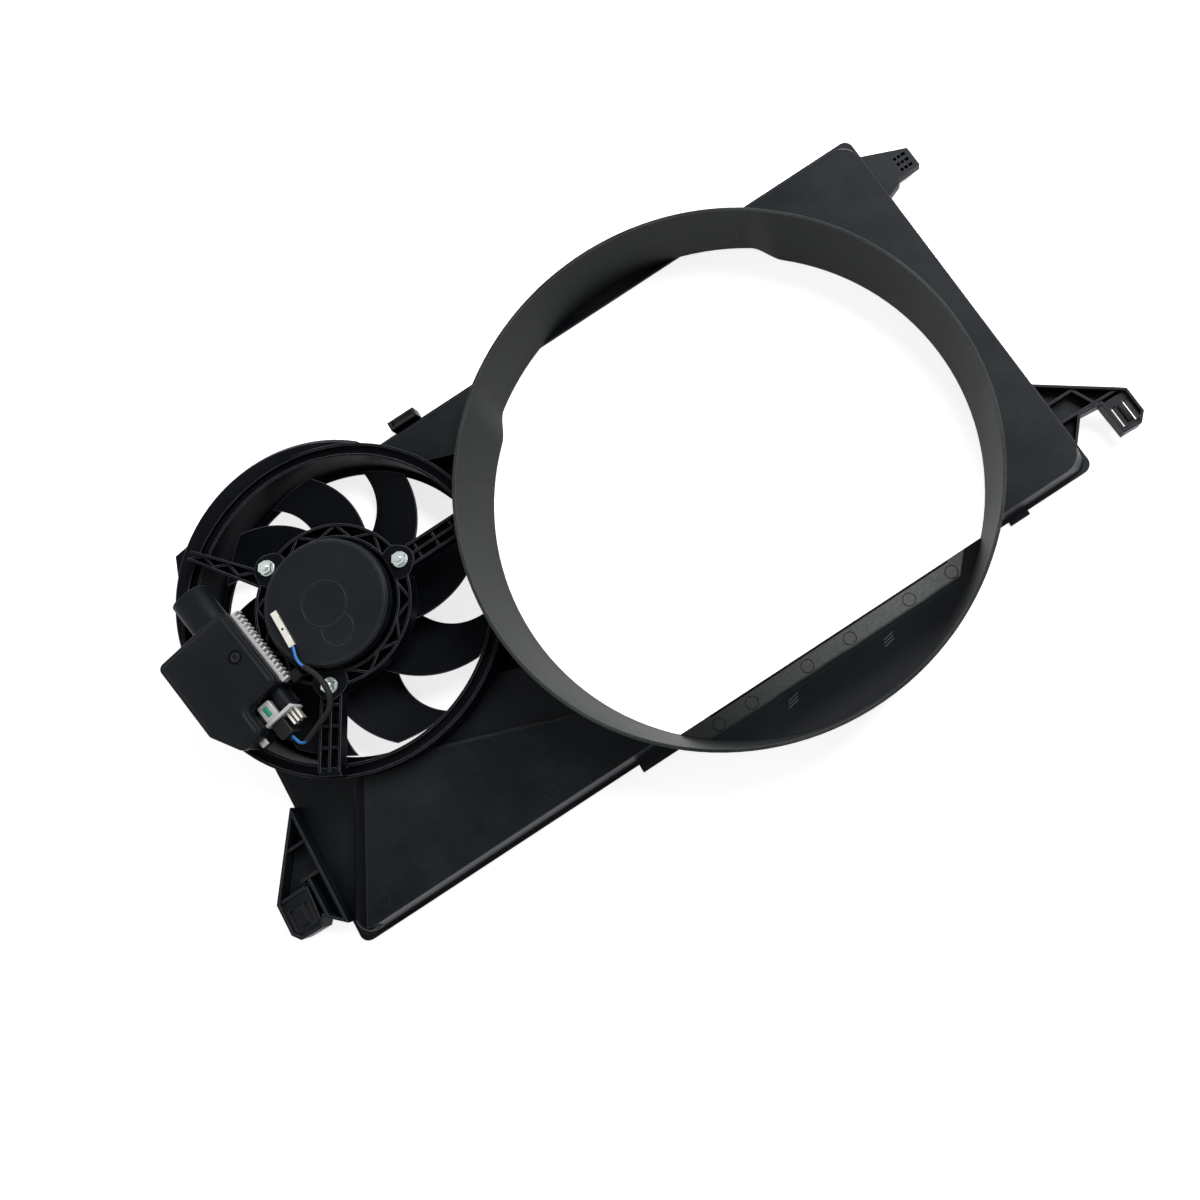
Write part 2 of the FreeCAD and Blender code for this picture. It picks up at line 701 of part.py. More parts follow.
def motor():
    """Can with ears, cap, magnets, bushes, brushes, studs and nuts."""
    can = turned(fan_x, fan_y, [
        (bush_radius, can_bottom), (can_radius, can_bottom), (can_radius, can_top), (can_radius - can_wall, can_top),
        (can_radius - can_wall, can_bottom + can_wall), (bush_radius + 3, can_bottom + can_wall),
        (bush_radius + 3, can_bottom + bush_length), (bush_radius, can_bottom + bush_length),
    ])
    ears = []
    for angle in lug_angles:
        centre = polar(fan_x, fan_y, lug_radius, angle)
        inner = polar(fan_x, fan_y, can_radius - 1, angle)
        ear = bar((inner.x, inner.y), (centre.x, centre.y), ear_width, carrier_bottom - ear_thick, carrier_bottom)
        ear = ear.fuse(disc(centre.x, centre.y, ear_width / 2, carrier_bottom - ear_thick, carrier_bottom))
        ears.append(ear.cut(disc(centre.x, centre.y, stud_radius, 0, sky)))
    inside = disc(fan_x, fan_y, can_radius - can_wall / 2, 0, sky)
    parts["motor_can"] = joined([can] + [ear.cut(inside) for ear in ears])

    inside_top = cap_top - cap_wall
    skirt_bottom = cap_top - cap_skirt
    cap = turned(fan_x, fan_y, [
        (0, inside_top), (can_radius, inside_top), (can_radius, skirt_bottom), (cap_radius, skirt_bottom),
        (cap_radius, cap_top - cap_edge), (cap_radius - cap_edge, cap_top), (0, cap_top),
    ])
    boss_bottom = commutator_bottom + commutator_height + clear_gap
    boss = tube(fan_x, fan_y, bush_radius + bush_seat_wall, bush_radius, boss_bottom, inside_top)
    lobe = polar(fan_x, fan_y, relief_lobe_reach, relief_lobe_angle)
    floor = cap_top - relief_depth
    ring_groove = tube(fan_x, fan_y, relief_radius, relief_radius - relief_width, floor, sky)
    lobe_groove = tube(lobe.x, lobe.y, relief_lobe_radius, relief_lobe_radius - relief_width, floor, sky)
    lobe_groove = lobe_groove.cut(disc(fan_x, fan_y, relief_radius, 0, sky + 1))
    parts["motor_end_cap"] = joined([cap, boss]).cut([ring_groove, lobe_groove])

    bore = shaft_radius + running_gap
    parts["front_bush"] = tube(fan_x, fan_y, bush_radius, bore, can_bottom, can_bottom + bush_length)
    parts["rear_bush"] = tube(fan_x, fan_y, bush_radius, bore, boss_bottom, boss_bottom + rear_bush_length)

    magnets = []
    outer = can_radius - can_wall
    for i in range(magnet_count):
        start = i * 360 / magnet_count - magnet_arc / 2
        low = core_bottom - magnet_margin
        high = core_bottom + core_height + magnet_margin
        inner = outer - magnet_wall
        profile = [(inner, low), (outer, low), (outer, high), (inner, high)]
        magnets.append(turned(fan_x, fan_y, profile, magnet_arc, start))
    parts["motor_magnets"] = Part.makeCompound(magnets)

    card_top = commutator_bottom + commutator_height + card_gap
    card_bottom = card_top - card_thick
    card_bore = bush_radius + bush_seat_wall + clear_gap
    parts["brush_card"] = tube(fan_x, fan_y, can_radius - can_wall, card_bore, card_bottom, card_top)
    brushes = []
    springs = []
    for i in range(brush_count):
        angle = 45 + i * 360 / brush_count
        inner = commutator_radius + seat_gap
        a = polar(fan_x, fan_y, inner, angle)
        b = polar(fan_x, fan_y, inner + brush_length, angle)
        c = polar(fan_x, fan_y, inner + brush_length + spring_length, angle)
        brushes.append(bar((a.x, a.y), (b.x, b.y), brush_width, card_bottom - brush_height, card_bottom))
        springs.append(bar((b.x, b.y), (c.x, c.y), spring_width, card_bottom - brush_height + 1, card_bottom))
    parts["carbon_brushes"] = Part.makeCompound(brushes)
    parts["brush_springs"] = Part.makeCompound(springs)

    studs = []
    nuts = []
    for angle in lug_angles:
        c = polar(fan_x, fan_y, lug_radius, angle)
        studs.append(disc(c.x, c.y, stud_radius, carrier_bottom - ear_thick, stud_top))
        points = [(p.x, p.y) for p in (polar(c.x, c.y, nut_radius, a + angle) for a in range(0, 360, 60))]
        nut = slab(points, carrier_top, carrier_top + nut_height)
        nut = nut.fuse(disc(c.x, c.y, flange_radius, carrier_top, carrier_top + flange_height))
        nuts.append(nut.cut(disc(c.x, c.y, stud_radius, 0, sky)))
    parts["motor_studs"] = Part.makeCompound(studs)
    parts["flange_nuts"] = Part.makeCompound(nuts)


def in_module(shape):
    """Moves a piece drawn in the module's own frame to its place on the rim."""
    turned_shape = shape.rotate(V(0, 0, 0), UP, module_turn)
    turned_shape.translate(V(module_x, module_y, 0))
    return turned_shape


def module_plan(shrink):
    corner = (module_left, module_notch_y + 4)
    tongue = [(tongue_left, tongue_end), (notch_x, tongue_end), (notch_x, module_notch_y)]
    block = [(module_right, module_notch_y), (module_right, module_back), (module_left, module_back)]
    face = Part.Face(outline([corner] + tongue + block, 0, module_corner))
    return face.makeOffset2D(-shrink) if shrink else face


def module_block(shrink, bottom, top):
    block = module_plan(shrink).extrude(UP * (top - bottom))
    block.translate(V(0, 0, bottom))
    return block


def module():
    """Control module: tray, lid, board, heat sink and the round power socket."""
    side = lid_overhang
    tray_block = module_block(side, module_bottom, module_seam)
    hollow = module_block(side + module_wall, module_bottom + module_wall, module_seam + 1)
    parts["module_housing"] = in_module(tray_block.cut(hollow))
    lid = module_block(0, module_seam, module_top)
    lid = lid.cut(module_block(module_wall, module_seam - 1, module_top - module_wall))
    for outer, inner, depth in lid_grooves:
        lid = lid.cut(tube(lid_boss[0], lid_boss[1], outer, inner, module_top - depth, module_top + 1))
    parts["module_cover"] = in_module(lid)
    board_bottom = module_bottom + board_rise
    pieces = [module_block(side + module_wall, board_bottom, board_bottom + board_thick)]
    for x, y in board_posts:
        pieces.append(disc(x, y, post_radius, module_bottom + module_wall, board_bottom))
    parts["circuit_board"] = in_module(joined(pieces))

    sink_left = module_right - side
    sink_bottom = carrier_top + 1
    sink_top = module_seam - 1
    fins = [slab(rectangle(sink_left, sink_left + sink_plate, sink_low, sink_high), sink_bottom, sink_top)]
    for i in range(fin_count):
        y = sink_low + fin_thick / 2 + i * (sink_high - sink_low - fin_thick) / (fin_count - 1)
        fin = rectangle(sink_left + sink_plate, sink_left + sink_plate + fin_reach, y - fin_thick / 2, y + fin_thick / 2)
        fins.append(slab(fin, sink_bottom, sink_top))
    parts["heat_sink"] = in_module(joined(fins))

    start = module_back - side
    mouth = start + socket_length
    middle_z = module_bottom + socket_height / 2
    flat = socket_width - socket_height

    def stadium(radius, start, end):
        ends = []
        for side in (-1, 1):
            centre = V(socket_x + side * flat / 2, start, middle_z)
            ends.append(Part.makeCylinder(radius, end - start, centre, V(0, 1, 0)))
        block = Part.makeBox(flat, end - start, radius * 2, V(socket_x - flat / 2, start, middle_z - radius))
        return joined(ends + [block])

    outer = stadium(socket_height / 2, start, mouth)
    inner = stadium(socket_height / 2 - socket_wall, mouth - socket_depth, mouth + 1)
    parts["power_socket"] = in_module(outer.cut(inner))
    pins = []
    for i in range(pin_count):
        x = socket_x + (i - (pin_count - 1) / 2) * pin_pitch
        place = V(x - pin_pitch / 4, mouth - socket_depth, middle_z - pin_thick / 2)
        pins.append(Part.makeBox(pin_pitch / 2, pin_length, pin_thick, place))
    parts["socket_pins"] = in_module(Part.makeCompound(pins))

    tabs = []
    for x, y in tab_places:
        plan = rectangle(x, x + tab_width, y, y + tab_length)
        tabs.append(slab(plan, module_seam - 2 * tab_thick, module_seam - tab_thick))
    parts["module_tabs"] = in_module(Part.makeCompound(tabs))


def plug():
    """The light plug of the motor lead, pushed into the module's notch."""
    base = module_bottom + tower_rise
    low = base + tower_thick
    top = low + plug_height
    notch = module_notch_y + lid_overhang
    tower = slab(rectangle(plug_left + 1, plug_right + 1, plug_end + 4, notch), base, low)
    axis_z = low + collar_radius + 2
    collar = Part.makeCylinder(collar_radius, notch - plug_end - 1, V(collar_x, plug_end + 1, axis_z), V(0, 1, 0))
    stand = slab(rectangle(collar_x - 5, collar_x + 5, plug_end + 2, notch), low, axis_z)
    parts["terminal_tower"] = in_module(joined([tower, collar, stand]))
    body = slab(rectangle(plug_left, plug_left + plug_width, plug_end, notch - 3), low, top, plug_round)
    flange = slab(rectangle(plug_left - 2, plug_right, plug_end - flange_thick, plug_end), low - 1, top + 2)
    window = (plug_left + 4, plug_left + 8, plug_end + 4, notch - 6)
    lock = (window[0] + lock_gap, window[1] - lock_gap, window[2] + lock_gap, window[3] - lock_gap)
    parts["plug_body"] = in_module(joined([body, flange]).cut(slab(rectangle(*window), top - 3, sky)))
    parts["plug_lock"] = in_module(slab(rectangle(*lock), top - 3, top + lock_rise))
    boot = rectangle(plug_left, plug_left + plug_width, boot_end, plug_end - flange_thick)
    parts["plug_boot"] = in_module(slab(boot, low, top - 2, boot_round))
    contacts = []
    for i in range(contact_count):
        x = contact_x + i * 2 * contact_thick
        contact = rectangle(x, x + contact_thick, boot_end + 4, plug_end - flange_thick)
        contacts.append(slab(contact, low + 7, low + 7 + contact_height))
    parts["plug_contacts"] = in_module(Part.makeCompound(contacts))


def route(points):
    """A smooth path: straight runs joined by tangent arcs."""
    corners = []
    for before, here, after in zip(points, points[1:], points[2:]):
        into = before - here
        out = after - here
        run = min(into.Length, out.Length) * lead_share
        a = V(into).normalize()
        b = V(out).normalize()
        half = a.getAngle(b) / 2
        radius = run * math.tan(half)
        middle = (a + b).normalize()
        centre = here + middle * (radius / math.sin(half))
        corners.append((here + a * run, centre - middle * radius, here + b * run))
        print("lead bend radius", round(radius, 1))
    edges = []
    last = points[0]
    for corner in corners:
        edges.append(Part.LineSegment(last, corner[0]).toShape())
        edges.append(Part.Arc(*corner).toShape())
        last = corner[2]
    edges.append(Part.LineSegment(last, points[-1]).toShape())
    return Part.Wire(edges)


def lead():
    """The motor's terminal and the short sleeved lead to the plug."""
    terminal = bar(terminal_head, terminal_foot, terminal_width, cap_top, cap_top + terminal_thick)
    hole_x = (terminal_head[0] + terminal_foot[0]) / 2
    hole_y = (terminal_head[1] + terminal_foot[1]) / 2
    parts["motor_terminal"] = terminal.cut(disc(hole_x, hole_y, terminal_hole, 0, sky))
    boot_z = module_bottom + tower_rise + tower_thick + plug_height / 2 - 1
    boot_face = in_module(Part.Vertex(plug_left + plug_width / 2, boot_end, boot_z)).Point
    path = route([V(*point) for point in lead_points] + [V(*boot_face)])

    def pipe(wire, radius):
        first = wire.Edges[0]
        start = first.firstVertex().Point
        profile = Part.Wire(Part.Circle(start, first.tangentAt(first.FirstParameter), radius).toShape())
        return wire.makePipeShell([profile], True, False)

    whole = pipe(path, lead_radius)
    print("lead volume check", round(whole.Volume, 1), round(math.pi * lead_radius ** 2 * path.Length, 1))
    print("lead length", round(path.Length, 1))
    parts["motor_lead"] = whole.cut([parts["motor_terminal"], parts["plug_boot"]])
    covered = Part.Wire(path.Edges[2:-2])
    parts["lead_sleeve"] = pipe(covered, sleeve_radius).cut(pipe(covered, lead_radius))


def bracket(outer, ribs, pad, slots, floor, top):
    """A ribbed arm: a floor, an upright edge all round, ribs and a pad with slots."""
    plate = slab(outer, floor, floor + bracket_wall)
    face = Part.Face(outline(outer, floor))
    edge = face.cut(face.makeOffset2D(-bracket_wall, 2)).extrude(UP * (top - floor))
    pieces = [plate, edge]
    for a, b in ribs:
        pieces.append(bar(a, b, bracket_wall, floor, top - 2))
    pieces.append(slab(pad, floor, top - 4))
    whole = joined(pieces)
    for a, b in slots:
        whole = whole.cut(bar(a, b, clip_slot_width, 0, sky))
    return whole


def right_bracket(body):
    """The arm with two clip slots at the lower right."""
    foot = half_length - lip_out - lean_side - 1
    pad = [(pad_left, pad_low), (pad_right - pad_nose, pad_low - 1), (pad_right, pad_low + pad_nose - 1),
           (pad_right, pad_low + pad_length), (pad_left, pad_low + pad_length)]
    elbow = pad_low + pad_length
    arm = [(foot, arm_high), (foot, arm_low), (arm_neck, elbow + 2), (pad_left - 1, elbow)]
    ribs = [
        ((foot, arm_high - 25), (arm_neck + 7, arm_high - 25)), ((foot, elbow + 6), (pad_right - 8, elbow + 4)),
        ((arm_neck + 7, arm_high - 24), (pad_left - 3, elbow + 2)),
    ]
    slots = []
    for x in right_slots:
        start = pad_low + slot_margin
        slots.append(((x, start), (x, start + clip_slot_length)))
    plan = arm + pad[:4] + [(pad_right - 9, elbow + 7)]
    shape = bracket(plan, ribs, pad, slots, bracket_floor, bracket_top)
    parts["right_clip_bracket"] = shape.cut(body)


def left_bracket(body):
    """The wider arm with two clip slots at the lower left."""
    foot = lip_out + 2 - half_length
    pad = [(left_pad_x, left_pad_high), (left_pad_x, left_pad_low + 9), (left_pad_x + 6, left_pad_low + 1),
           (left_pad_end, left_pad_low), (left_pad_end + 3, left_pad_high)]
    plan = [(foot, left_arm_high)] + pad[:4] + [(left_pad_end + 6, left_pad_low + 7), (foot, left_arm_low)]
    ribs = []
    for drop in left_rib_drops:
        ribs.append(((foot, left_arm_high - drop), (left_pad_end + 1, left_arm_high - drop)))
    ribs.append(((left_pad_x + 2, left_pad_high), (left_pad_end + 1, left_pad_high)))
    ribs.append(((left_pad_end + 8, left_pad_high + 4), (left_pad_end + 8, left_pad_low + 7)))
    slots = []
    for x in left_slots:
        start = left_pad_low + 9
        slots.append(((x, start), (x, start + clip_slot_length)))
    shape = bracket(plan, ribs, pad, slots, lip_thick, bracket_top - 8)
    parts["left_clip_bracket"] = shape.cut(body)


def brackets():
    """Clip brackets, the small upper arm with its comb, and the cable loop."""
    body = tray(0)
    right_bracket(body)
    left_bracket(body)
    foot = half_length - lip_out - lean_side - 1
    plan = [(foot, comb_low + 46), (foot, comb_low - 9), (comb_neck, comb_low - 1), (comb_neck + 3, comb_low + 3),
            (comb_end, comb_low + 4), (comb_end, comb_low + 25)]
    plate = slab(plan, comb_floor, comb_floor + comb_height)
    for i in range(comb_slots):
        y = comb_low + 9 + i * comb_pitch
        slot = bar((comb_neck + 8, y), (comb_end - 5, y), comb_pitch / 2, comb_floor + wall, sky)
        plate = plate.cut(slot)
    parts["upper_bracket"] = plate.cut(body)

    outer = rectangle(loop_start, loop_start + loop_length, top_edge, top_edge + loop_reach)
    window = rectangle(loop_start + wall, loop_start + loop_length - wall, top_edge + 2, top_edge + loop_reach - 2)
    parts["cable_loop"] = slab(outer, 0, loop_height).cut(slab(window, -1, loop_height + 1))


def place_and_write():
    """Moves everything so that the middle of the footprint is the origin, and writes the parts."""
    everything = Part.makeCompound(list(parts.values())).optimalBoundingBox(False, False)
    middle = V((everything.XMin + everything.XMax) / 2, (everything.YMin + everything.YMax) / 2, everything.ZMin)
    os.makedirs("parts", exist_ok=True)
    for name, shape in parts.items():
        shape.translate(middle * -1)
        solids = shape.Solids
        bad = [s for s in solids if not s.isValid()]
        print(name, len(solids), "solids", "INVALID" if bad else "ok", round(shape.Volume, 1))
        shape.exportStep("parts/" + name + ".step")


cowl()
barrel()
carrier()
rotor()
motor()
module()
plug()
lead()
brackets()
place_and_write()
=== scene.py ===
"""Radiator cowl with its small electric fan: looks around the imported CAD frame."""
import json
import math

import bmesh
import bpy
from mathutils import Matrix, Vector
from mathutils.bvhtree import BVHTree


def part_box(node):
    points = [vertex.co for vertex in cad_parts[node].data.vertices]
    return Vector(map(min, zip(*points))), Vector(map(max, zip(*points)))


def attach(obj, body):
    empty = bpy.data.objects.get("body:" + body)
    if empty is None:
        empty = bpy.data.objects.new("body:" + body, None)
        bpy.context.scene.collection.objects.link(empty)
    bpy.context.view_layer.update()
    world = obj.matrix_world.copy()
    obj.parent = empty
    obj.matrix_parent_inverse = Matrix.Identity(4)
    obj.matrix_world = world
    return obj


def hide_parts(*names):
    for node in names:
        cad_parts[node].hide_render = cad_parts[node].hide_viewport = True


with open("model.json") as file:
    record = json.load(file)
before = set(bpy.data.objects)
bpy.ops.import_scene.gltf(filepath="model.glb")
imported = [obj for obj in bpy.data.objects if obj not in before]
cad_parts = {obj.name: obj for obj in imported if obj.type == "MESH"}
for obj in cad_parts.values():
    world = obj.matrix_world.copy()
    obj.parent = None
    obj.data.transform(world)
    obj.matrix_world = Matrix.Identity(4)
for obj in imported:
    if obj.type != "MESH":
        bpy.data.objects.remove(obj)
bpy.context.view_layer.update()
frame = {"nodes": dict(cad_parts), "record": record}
nodes = frame["nodes"]
slot_of = {entry["node"]: entry["material_slot"] for entry in frame["record"]["subparts"]}

MM = 0.001

# Places are given in millimetres from the tray's middle, as in the part's source
FAN_AXIS_MM = Vector((-246.0, 62.0, 0.0))
RING_AXIS_MM = Vector((108.8, -34.7, 0.0))
MODULE_MM = Vector((-360.0, 55.0, 0.0))
MODULE_TURN = math.radians(10.0)
RING_HEIGHT = 84.0
CAP_TOP = 81.0
MODULE_TOP = 88.0
shaft_low, shaft_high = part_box("motor_shaft")
shaft_middle = (shaft_low + shaft_high) / 2
shift = Vector((shaft_middle.x, shaft_middle.y, 0.0)) - FAN_AXIS_MM * MM


def place(x, y, z):
    """A point of the drawing in the scene's metres."""
    return Vector((x, y, z)) * MM + shift


def in_module(x, y, z):
    """A point of the control module's own frame in the scene's metres."""
    turned = Matrix.Rotation(MODULE_TURN, 3, "Z") @ Vector((x, y, 0.0))
    return place(MODULE_MM.x + turned.x, MODULE_MM.y + turned.y, z)


def around_fan(radius, angle, z):
    """A point at a distance and an angle (radians) from the small fan's axis."""
    return place(FAN_AXIS_MM.x + radius * math.cos(angle), FAN_AXIS_MM.y + radius * math.sin(angle), z)


def add_object(name, data):
    """A new object in the scene's own collection."""
    made = bpy.data.objects.new(name, data)
    bpy.context.scene.collection.objects.link(made)
    return made


# Camera of the photograph
CAMERA_PLACE_MM = (90.8, -298.3, 999.4)
CAMERA_RIGHT = Vector((0.83656, -0.53513, -0.11748))
CAMERA_UP = Vector((0.54786, 0.81519, 0.18793))
FOCAL_PX = 1112.19
PRINCIPAL_PX = (742.99, 529.45)
IMAGE_PX = 1200.0
SENSOR_MM = 36.0


def make_camera():
    """The photograph's camera, with its picture middle off the lens axis."""
    data = bpy.data.cameras.new("camera")
    data.sensor_width = SENSOR_MM
    data.lens = FOCAL_PX / IMAGE_PX * SENSOR_MM
    data.shift_x = (IMAGE_PX / 2 - PRINCIPAL_PX[0]) / IMAGE_PX
    data.shift_y = (PRINCIPAL_PX[1] - IMAGE_PX / 2) / IMAGE_PX
    camera = add_object("camera", data)
    back = CAMERA_RIGHT.cross(CAMERA_UP)
    turn = Matrix((CAMERA_RIGHT, CAMERA_UP, back)).transposed()
    camera.matrix_world = Matrix.Translation(place(*CAMERA_PLACE_MM)) @ turn.to_4x4()
    bpy.context.scene.camera = camera


make_camera()


# Node helpers
def link(tree, source, target):
    tree.links.new(source, target)


def feed(tree, socket, value):
    """Give a socket a plain value, or link another socket to it."""
    if isinstance(value, bpy.types.NodeSocket):
        link(tree, value, socket)
    else:
        socket.default_value = value


def node(tree, kind, **settings):
    made = tree.nodes.new(kind)
    for name, value in settings.items():
        setattr(made, name, value)
    return made


def math_node(tree, operation, a, b, clamp=False):
    made = node(tree, "ShaderNodeMath", operation=operation, use_clamp=clamp)
    feed(tree, made.inputs[0], a)
    feed(tree, made.inputs[1], b)
    return made.outputs[0]


def product(tree, *factors, clamp=False):
    """All the factors multiplied, clamped at the end when asked."""
    result = factors[0]
    for factor in factors[1:-1]:
        result = math_node(tree, "MULTIPLY", result, factor)
    return math_node(tree, "MULTIPLY", result, factors[-1], clamp)


def noise(tree, vector, scale, detail=2.0, rough=0.5):
    made = node(tree, "ShaderNodeTexNoise")
    link(tree, vector, made.inputs["Vector"])
    feed(tree, made.inputs["Scale"], scale)
    made.inputs["Detail"].default_value = detail
    made.inputs["Roughness"].default_value = rough
    return made.outputs["Fac"]


def spread(tree, value, low, high, to_low=0.0, to_high=1.0):
    """A value's range from low to high, mapped to another range."""
    made = node(tree, "ShaderNodeMapRange")
    link(tree, value, made.inputs["Value"])
    for name, number in (("From Min", low), ("From Max", high), ("To Min", to_low), ("To Max", to_high)):
        made.inputs[name].default_value = number
    return made.outputs["Result"]


def mix_colour(tree, factor, a, b):
    """Colour a where the factor is 0 and colour b where it is 1, each a colour or a socket."""
    made = node(tree, "ShaderNodeMix", data_type="RGBA")
    link(tree, factor, made.inputs["Factor"])
    for socket, value in ((made.inputs[6], a), (made.inputs[7], b)):
        feed(tree, socket, (*value, 1.0) if isinstance(value, tuple) else value)
    return made.outputs[2]


def split_vector(tree, vector):
    """The X, Y and Z outputs of a vector."""
    parts = node(tree, "ShaderNodeSeparateXYZ")
    link(tree, vector, parts.inputs[0])
    return parts.outputs


# Shader groups, built once and placed in each material with its own values
def new_group(name, inputs, outputs):
    """A shader group with float inputs, its ends, and the place on the object."""
    group = bpy.data.node_groups.new(name, "ShaderNodeTree")
    for label, value in inputs:
        socket = group.interface.new_socket(label, in_out="INPUT", socket_type="NodeSocketFloat")
        socket.default_value = value
    for label in outputs:
        kind = "NodeSocketVector" if label == "Normal" else "NodeSocketFloat"
        group.interface.new_socket(label, in_out="OUTPUT", socket_type=kind)
    source = node(group, "NodeGroupInput")
    sink = node(group, "NodeGroupOutput")
    where = node(group, "ShaderNodeTexCoord")
    return group, source, sink, where.outputs["Object"]


def moulded_surface():
    """Fine moulded texture with slow tone changes from flow and handling."""
    streak_turn = 0.7
    streak_scale = (14.0, 420.0, 60.0)
    patch_scale = 26.0
    group, source, sink, where = new_group(
        "moulded_surface", [("Grain Scale", 1500.0), ("Flow Scale", 9.0), ("Scuff", 0.3)],
        ["Height", "Tone", "Gloss"])
    fine = noise(group, where, source.outputs["Grain Scale"], 2.0, 0.6)
    flow = noise(group, where, source.outputs["Flow Scale"], 3.0, 0.55)
    stretched = node(group, "ShaderNodeMapping")
    stretched.inputs["Rotation"].default_value = (0.0, 0.0, streak_turn)
    stretched.inputs["Scale"].default_value = streak_scale
    link(group, where, stretched.inputs["Vector"])
    streak = spread(group, noise(group, stretched.outputs["Vector"], 1.0, 4.0, 0.7), 0.62, 0.78)
    patch = spread(group, noise(group, where, patch_scale), 0.5, 0.66)
    link(group, fine, sink.inputs["Height"])
    link(group, spread(group, flow, 0.3, 0.7), sink.inputs["Tone"])
    link(group, product(group, streak, patch, source.outputs["Scuff"]), sink.inputs["Gloss"])
    return group


def settled_dust():
    """Pale dust on faces that look up, thicker in broad patches."""
    patch_scale = 14.0
    speck_scale = 900.0
    speck_share = 0.6
    group, source, sink, where = new_group("settled_dust", [("Amount", 0.3)], ["Mask"])
    facing = node(group, "ShaderNodeNewGeometry")
    upward = spread(group, split_vector(group, facing.outputs["Normal"])["Z"], 0.35, 1.0)
    patch = spread(group, noise(group, where, patch_scale, 5.0, 0.65), 0.35, 0.75)
    speck = spread(group, noise(group, where, speck_scale), 0.52, 0.8)
    grains = math_node(group, "ADD", patch, product(group, speck, speck_share))
    mask = product(group, upward, grains, source.outputs["Amount"], clamp=True)
    link(group, mask, sink.inputs["Mask"])
    return group


def rounded_edges_and_painted_light():
    """Rounded normals, a painted highlight along convex edges, and painted shade in pockets."""
    ray_samples = 6
    near_reach = 4 * MM
    wear_scale = 60.0
    group, source, sink, where = new_group(
        "rounded_edges_and_painted_light", [("Radius", 0.7 * MM), ("Pocket Depth", 12 * MM)], ["Edge", "Painted Shade", "Normal"])
    rounded = node(group, "ShaderNodeBevel", samples=ray_samples)
    link(group, source.outputs["Radius"], rounded.inputs["Radius"])
    facing = node(group, "ShaderNodeNewGeometry")
    agree = node(group, "ShaderNodeVectorMath", operation="DOT_PRODUCT")
    link(group, rounded.outputs[0], agree.inputs[0])
    link(group, facing.outputs["Normal"], agree.inputs[1])
    bent = spread(group, math_node(group, "SUBTRACT", 1.0, agree.outputs["Value"]), 0.002, 0.06)
    near = node(group, "ShaderNodeAmbientOcclusion", samples=ray_samples)
    near.inputs["Distance"].default_value = near_reach
    standing = spread(group, near.outputs["AO"], 0.55, 0.85)
    uneven = spread(group, noise(group, where, wear_scale, 3.0, 0.6), 0.25, 0.6, 0.6, 1.0)
    wide = node(group, "ShaderNodeAmbientOcclusion", samples=ray_samples)
    link(group, source.outputs["Pocket Depth"], wide.inputs["Distance"])
    # The edge mask is a painted highlight, and the mask for pockets is painted shade from nearby faces.
    link(group, product(group, bent, standing, uneven, clamp=True), sink.inputs["Edge"])
    link(group, spread(group, wide.outputs["AO"], 0.85, 0.15), sink.inputs["Painted Shade"])
    link(group, rounded.outputs[0], sink.inputs["Normal"])
    return group


SURFACE = moulded_surface()
DUST = settled_dust()
EDGES = rounded_edges_and_painted_light()


def use_group(tree, group, **values):
    """A group in a material, with its inputs set by name (_ stands for a space)."""
    made = node(tree, "ShaderNodeGroup")
    made.node_tree = group
    for name, value in values.items():
        made.inputs[name.replace("_", " ")].default_value = value
    return made


# Materials
PLASTIC_EDGE_RADIUS = 1.25 * MM
METAL_EDGE_RADIUS = 0.3 * MM
PLASTIC_RELIEF = 0.4 * MM
METAL_RELIEF = 0.3 * MM
METAL_RELIEF_STRENGTH = 0.05
METAL_GRAIN = 700.0
METAL_FLOW = 60.0
METAL_SCUFF = 0.2
DUST_TONE = (0.2, 0.21, 0.205)
DUST_ROUGHNESS = 0.4
ROUGHNESS_PLAY = 0.05


def new_material(name):
    """A material, its tree and its shader."""
    material = bpy.data.materials.new(name)
    material.use_nodes = True
    tree = material.node_tree
    return material, tree, tree.nodes["Principled BSDF"]


def finish_relief(tree, shader, height, strength, distance, rounded):
    """Grain relief over edges that catch the light as rounded ones do."""
    relief = node(tree, "ShaderNodeBump")
    relief.inputs["Strength"].default_value = strength
    relief.inputs["Distance"].default_value = distance
    link(tree, height, relief.inputs["Height"])
    link(tree, rounded, relief.inputs["Normal"])
    link(tree, relief.outputs["Normal"], shader.inputs["Normal"])


